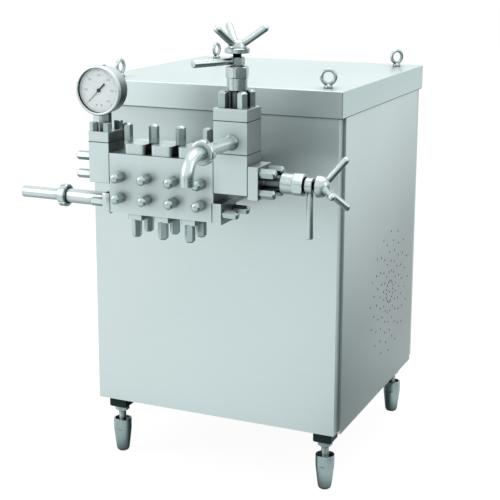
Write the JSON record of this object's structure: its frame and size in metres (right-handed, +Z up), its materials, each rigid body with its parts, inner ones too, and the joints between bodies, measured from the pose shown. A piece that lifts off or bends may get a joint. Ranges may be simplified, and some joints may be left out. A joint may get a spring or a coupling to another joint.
{
  "type": "homogenizer",
  "caption": "Floor-standing two-stage high-pressure homogenizer with plunger pump block, pressure gauge and handwheel valves on a stainless steel cabinet.",
  "frame": {"origin": "on the floor under the middle of the whole machine", "axes": "+X to the operator's right, +Y to the rear, +Z up"},
  "size_m": [0.7448, 1.0697, 1.0769],
  "materials": {
    "brushed_sheet": "brushed",
    "machined_steel": "fine ground",
    "turned_steel": "turned and polished",
    "fasteners": "polished",
    "frame_steel": "mill finish",
    "gauge_metal": "polished",
    "dial_white": "matte enamel",
    "pointer_black": "matte",
    "gauge_glass": "clear",
    "bronze": "turned",
    "cast_body": "painted casting",
    "pulley_iron": "machined",
    "motor_paint": "satin",
    "belt_rubber": "matte"
  },
  "bodies": {
    "machine": {"base_frame": "frame_steel", "bonnet_1": "turned_steel", "bonnet_2": "turned_steel", "bonnet_flange_1": "machined_steel", "bonnet_flange_2": "machined_steel", "bottom_plates": "machined_steel", "crankcase": "cast_body", "discharge_pipe": "turned_steel", "drive_belts": "belt_rubber", "eye_bolts": "fasteners", "foot_lock_nuts": "turned_steel", "foot_sockets": "frame_steel", "front_panel": "brushed_sheet", "gauge_bezel": "gauge_metal", "gauge_block": "machined_steel", "gauge_bolts": "fasteners", "gauge_case": "gauge_metal", "gauge_dial": "dial_white", "gauge_flange": "machined_steel", "gauge_window": "gauge_glass", "homogenizing_seats": "turned_steel", "inlet_pipe": "turned_steel", "inlet_stub": "turned_steel", "left_side_panel": "brushed_sheet", "lower_valve_block": "machined_steel", "motor": "motor_paint", "plunger_box": "machined_steel", "plunger_glands": "bronze", "pump_block": "machined_steel", "rear_panel": "brushed_sheet", "right_side_panel": "brushed_sheet", "short_cap_nuts": "fasteners", "suction_end_cover": "machined_steel", "tall_cap_nuts": "fasteners", "top_lid": "brushed_sheet", "upper_valve_block": "machined_steel", "valve_covers": "machined_steel", "valve_poppets": "turned_steel", "valve_seats": "turned_steel"},
    "rod_1": {"thrust_rod_1": "turned_steel"},
    "wheel_1": {"handwheel_1": "turned_steel"},
    "rod_2": {"thrust_rod_2": "turned_steel"},
    "wheel_2": {"handwheel_2": "turned_steel"},
    "lock_1": {"lock_nut_1": "turned_steel"},
    "lock_2": {"lock_nut_2": "turned_steel"},
    "pointer": {"gauge_pointer": "pointer_black"},
    "inlet_union": {"inlet_union_nut": "turned_steel"},
    "outlet_union": {"discharge_union_nut": "turned_steel"},
    "elbow": {"discharge_elbow": "turned_steel"},
    "plunger_left": {"plunger_1": "turned_steel"},
    "plunger_middle": {"plunger_2": "turned_steel"},
    "plunger_right": {"plunger_3": "turned_steel"},
    "crank": {"crankshaft": "turned_steel", "drive_pulley": "pulley_iron"},
    "motor_rotor": {"motor_pulley": "pulley_iron"},
    "foot_fl": {"foot_front_left": "turned_steel"},
    "foot_fr": {"foot_front_right": "turned_steel"},
    "foot_rl": {"foot_rear_left": "turned_steel"},
    "foot_rr": {"foot_rear_right": "turned_steel"}
  },
  "joints": [
    {"name": "first_stage_rod", "type": "slide", "parent": "machine", "child": "rod_1", "axis": [0, 0, 1], "range_m": [0, 0.006]},
    {"name": "first_stage_wheel", "type": "hinge", "parent": "rod_1", "child": "wheel_1", "pos_m": [0.14205, -0.29415, 1], "axis": [0, 0, 1], "range_deg": [0, 1080]},
    {"name": "first_stage_lock", "type": "hinge", "parent": "machine", "child": "lock_1", "pos_m": [0.14205, -0.29415, 1.004], "axis": [0, 0, 1], "range_deg": [0, 90]},
    {"name": "second_stage_rod", "type": "slide", "parent": "machine", "child": "rod_2", "axis": [1, 0, 0], "range_m": [0, 0.006]},
    {"name": "second_stage_wheel", "type": "hinge", "parent": "rod_2", "child": "wheel_2", "pos_m": [0.30055, -0.29415, 0.766], "axis": [1, 0, 0], "range_deg": [0, 1080]},
    {"name": "second_stage_lock", "type": "hinge", "parent": "machine", "child": "lock_2", "pos_m": [0.30055, -0.29415, 0.766], "axis": [1, 0, 0], "range_deg": [0, 90]},
    {"name": "gauge_needle", "type": "hinge", "parent": "machine", "child": "pointer", "pos_m": [-0.15945, -0.32215, 0.9335], "axis": [0, 1, 0], "range_deg": [0, 270]},
    {"name": "inlet_union_turn", "type": "hinge", "parent": "machine", "child": "inlet_union", "pos_m": [-0.26745, -0.29065, 0.697], "axis": [1, 0, 0], "continuous": true},
    {"name": "outlet_union_turn", "type": "hinge", "parent": "machine", "child": "outlet_union", "pos_m": [0.14405, -0.45515, 0.846], "axis": [0, 1, 0], "continuous": true},
    {"name": "outlet_elbow_swing", "type": "hinge", "parent": "machine", "child": "elbow", "pos_m": [0.14405, -0.45515, 0.846], "axis": [0, 1, 0], "range_deg": [-90, 90]},
    {"name": "plunger_left_stroke", "type": "slide", "parent": "machine", "child": "plunger_left", "axis": [0, 1, 0], "range_m": [-0.036, 0]},
    {"name": "plunger_middle_stroke", "type": "slide", "parent": "machine", "child": "plunger_middle", "axis": [0, 1, 0], "range_m": [-0.009, 0.027]},
    {"name": "plunger_right_stroke", "type": "slide", "parent": "machine", "child": "plunger_right", "axis": [0, 1, 0], "range_m": [-0.009, 0.027]},
    {"name": "crank_turn", "type": "hinge", "parent": "machine", "child": "crank", "pos_m": [-0.01545, 0.12185, 0.735], "axis": [1, 0, 0], "continuous": true},
    {"name": "motor_turn", "type": "hinge", "parent": "machine", "child": "motor_rotor", "pos_m": [0.15255, 0.34685, 0.292], "axis": [1, 0, 0], "continuous": true},
    {"name": "foot_fl_turn", "type": "hinge", "parent": "machine", "child": "foot_fl", "pos_m": [-0.28545, -0.03315, 0.06], "axis": [0, 0, 1], "continuous": true},
    {"name": "foot_fr_turn", "type": "hinge", "parent": "machine", "child": "foot_fr", "pos_m": [0.24655, -0.03315, 0.06], "axis": [0, 0, 1], "continuous": true},
    {"name": "foot_rl_turn", "type": "hinge", "parent": "machine", "child": "foot_rl", "pos_m": [-0.28545, 0.48485, 0.06], "axis": [0, 0, 1], "continuous": true},
    {"name": "foot_rr_turn", "type": "hinge", "parent": "machine", "child": "foot_rr", "pos_m": [0.24655, 0.48485, 0.06], "axis": [0, 0, 1], "continuous": true}
  ],
  "couplings": [
    {"joint": "first_stage_rod", "follows": "first_stage_wheel", "m_per_rad": 0.00031831},
    {"joint": "second_stage_rod", "follows": "second_stage_wheel", "m_per_rad": 0.00031831},
    {"joint": "motor_turn", "follows": "crank_turn", "ratio": 3.0632}
  ]
}
